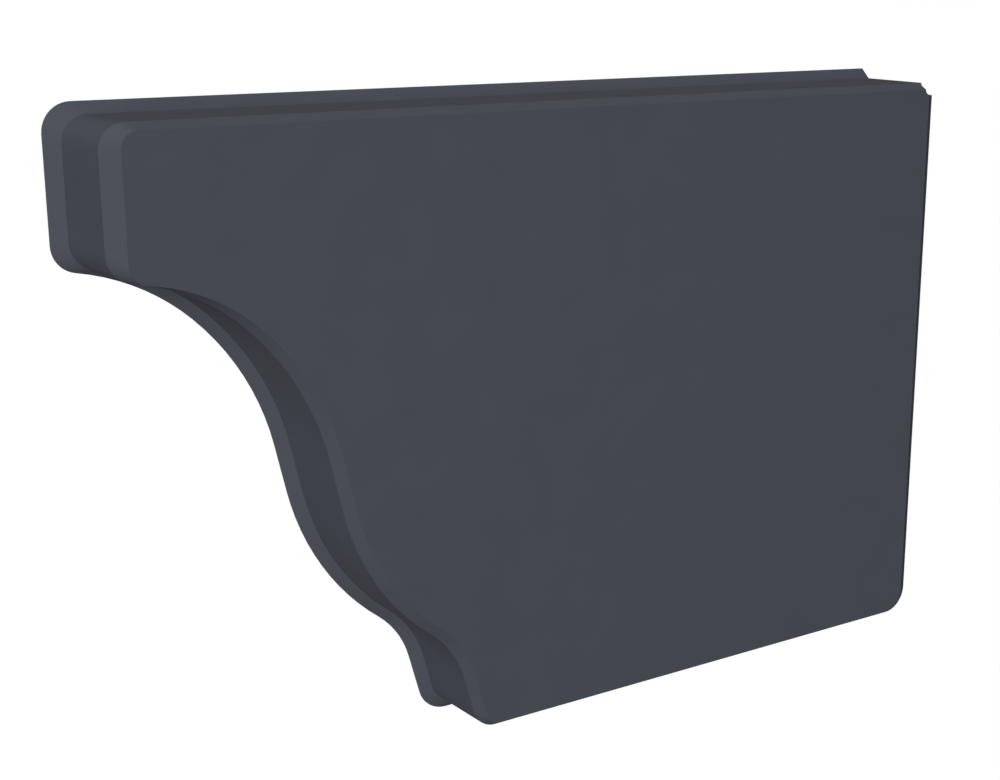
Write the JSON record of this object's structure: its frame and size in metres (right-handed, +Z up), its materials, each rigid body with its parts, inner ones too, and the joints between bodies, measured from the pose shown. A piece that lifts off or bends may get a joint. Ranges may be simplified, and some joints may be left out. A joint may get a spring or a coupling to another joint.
{
  "type": "gutter end cap",
  "caption": "Pressed sheet end cap that closes one end of an ogee roof gutter, with a flat plate, a bevelled bend, a straight flange and a flared mouth.",
  "frame": {"origin": "middle of the seat, the plate's inner side that the gutter's end meets, halfway across the flange and halfway up it", "axes": "+Z up, +X towards the fascia board, +Y along the gutter, away from the plate"},
  "size_m": [0.1322, 0.0142, 0.0863],
  "materials": {
    "graphite_coat": "satin graphite-grey coil coating"
  },
  "bodies": {
    "root": {"end_cap": "graphite_coat"}
  },
  "joints": []
}
